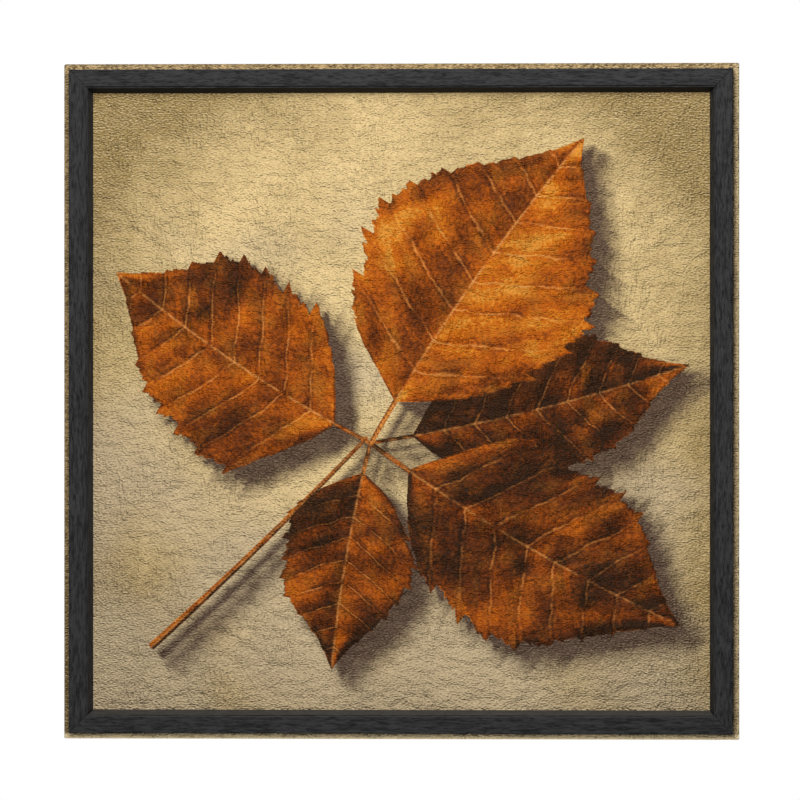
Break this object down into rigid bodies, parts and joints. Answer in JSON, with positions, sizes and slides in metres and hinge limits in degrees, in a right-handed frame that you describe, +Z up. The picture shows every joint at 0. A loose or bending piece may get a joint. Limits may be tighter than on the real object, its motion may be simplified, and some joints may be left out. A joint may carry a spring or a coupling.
{
  "type": "framed canvas picture",
  "caption": "Square picture on stretched canvas with a slim dark mitred wood frame on its face, open stretcher back and a sawtooth hanger.",
  "frame": {"origin": "middle notch of the sawtooth hanger, on the wall plane", "axes": "+Z up, +Y from the picture into the wall, +X to the right as seen from the front"},
  "size_m": [0.61, 0.0388, 0.61],
  "materials": {
    "frame_paint": "matt charcoal paint over open grain",
    "painted_canvas": "matt paint with fine brush relief, raw cloth behind",
    "bare_pine": "planed, bare",
    "fastener_steel": "bright zinc",
    "hanger_steel": "pressed, plated",
    "bumper_rubber": "matt"
  },
  "bodies": {
    "root": {"frame_rail_top": "frame_paint", "frame_rail_right": "frame_paint", "frame_rail_bottom": "frame_paint", "frame_rail_left": "frame_paint", "canvas": "painted_canvas", "stretcher_bar_top": "bare_pine", "stretcher_bar_right": "bare_pine", "stretcher_bar_bottom": "bare_pine", "stretcher_bar_left": "bare_pine", "corner_staple_top_right": "fastener_steel", "corner_staple_bottom_right": "fastener_steel", "corner_staple_bottom_left": "fastener_steel", "corner_staple_top_left": "fastener_steel", "cloth_staple_top_1": "fastener_steel", "cloth_staple_top_2": "fastener_steel", "cloth_staple_top_3": "fastener_steel", "cloth_staple_top_4": "fastener_steel", "cloth_staple_top_5": "fastener_steel", "cloth_staple_top_6": "fastener_steel", "cloth_staple_right_1": "fastener_steel", "cloth_staple_right_2": "fastener_steel", "cloth_staple_right_3": "fastener_steel", "cloth_staple_right_4": "fastener_steel", "cloth_staple_right_5": "fastener_steel", "cloth_staple_right_6": "fastener_steel", "cloth_staple_bottom_1": "fastener_steel", "cloth_staple_bottom_2": "fastener_steel", "cloth_staple_bottom_3": "fastener_steel", "cloth_staple_bottom_4": "fastener_steel", "cloth_staple_bottom_5": "fastener_steel", "cloth_staple_bottom_6": "fastener_steel", "cloth_staple_left_1": "fastener_steel", "cloth_staple_left_2": "fastener_steel", "cloth_staple_left_3": "fastener_steel", "cloth_staple_left_4": "fastener_steel", "cloth_staple_left_5": "fastener_steel", "cloth_staple_left_6": "fastener_steel", "v_nail_top_right": "fastener_steel", "v_nail_bottom_right": "fastener_steel", "v_nail_bottom_left": "fastener_steel", "v_nail_top_left": "fastener_steel", "screw_top_1": "fastener_steel", "screw_top_2": "fastener_steel", "screw_right_1": "fastener_steel", "screw_right_2": "fastener_steel", "screw_bottom_1": "fastener_steel", "screw_bottom_2": "fastener_steel", "screw_left_1": "fastener_steel", "screw_left_2": "fastener_steel", "hanger_tack_1": "fastener_steel", "hanger_tack_2": "fastener_steel", "sawtooth_hanger": "hanger_steel", "bumper_left": "bumper_rubber", "bumper_right": "bumper_rubber"}
  },
  "joints": []
}
